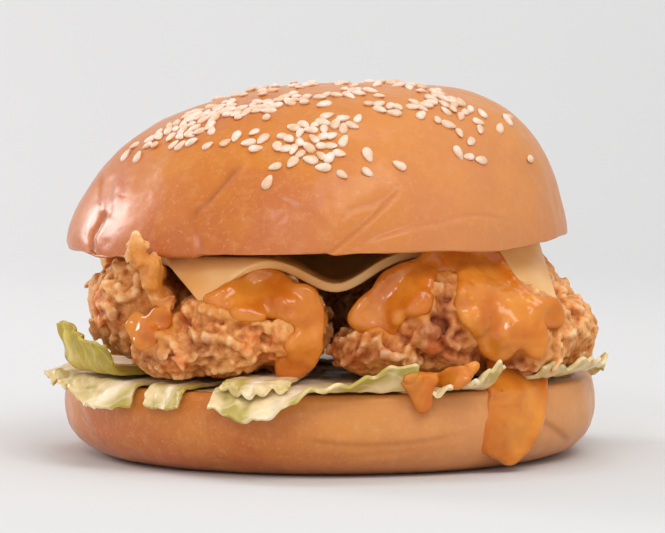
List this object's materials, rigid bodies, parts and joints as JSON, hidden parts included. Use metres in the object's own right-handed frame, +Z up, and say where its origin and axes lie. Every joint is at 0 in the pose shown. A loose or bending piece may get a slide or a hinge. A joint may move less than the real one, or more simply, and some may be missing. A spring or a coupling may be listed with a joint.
{
  "type": "burger",
  "caption": "Fried chicken burger in a domed sesame-seeded bun, with craggy battered chicken, a draped cheese slice, lettuce leaves and thick orange sauce running down the front.",
  "frame": {"origin": "middle of the flat base of the bottom bun, which stands on Z = 0", "axes": "+X to the right of the shown front, +Y to the back, +Z up through the stack"},
  "size_m": [0.113, 0.1179, 0.0742],
  "materials": {
    "bun_crust": "glazed brioche crust, semi-gloss",
    "sesame": "hulled sesame seed, satin",
    "batter": "fried batter, rough with an oily sheen",
    "cheese": "soft processed cheese, satin",
    "lettuce": "wet leaf, satin",
    "sauce": "thick wet sauce, glossy"
  },
  "bodies": {
    "root": {"bun_bottom": "bun_crust", "lettuce_blade": "lettuce", "lettuce_left": "lettuce", "lettuce_chip": "lettuce", "lettuce_chunk": "lettuce", "lettuce_front": "lettuce", "lettuce_right": "lettuce", "lettuce_far_right": "lettuce", "lettuce_back_right": "lettuce", "lettuce_back": "lettuce", "lettuce_back_left": "lettuce", "lettuce_side": "lettuce", "chicken_front": "batter", "chicken_left": "batter", "chicken_right": "batter", "cheese": "cheese", "bun_top": "bun_crust"}
  },
  "joints": []
}
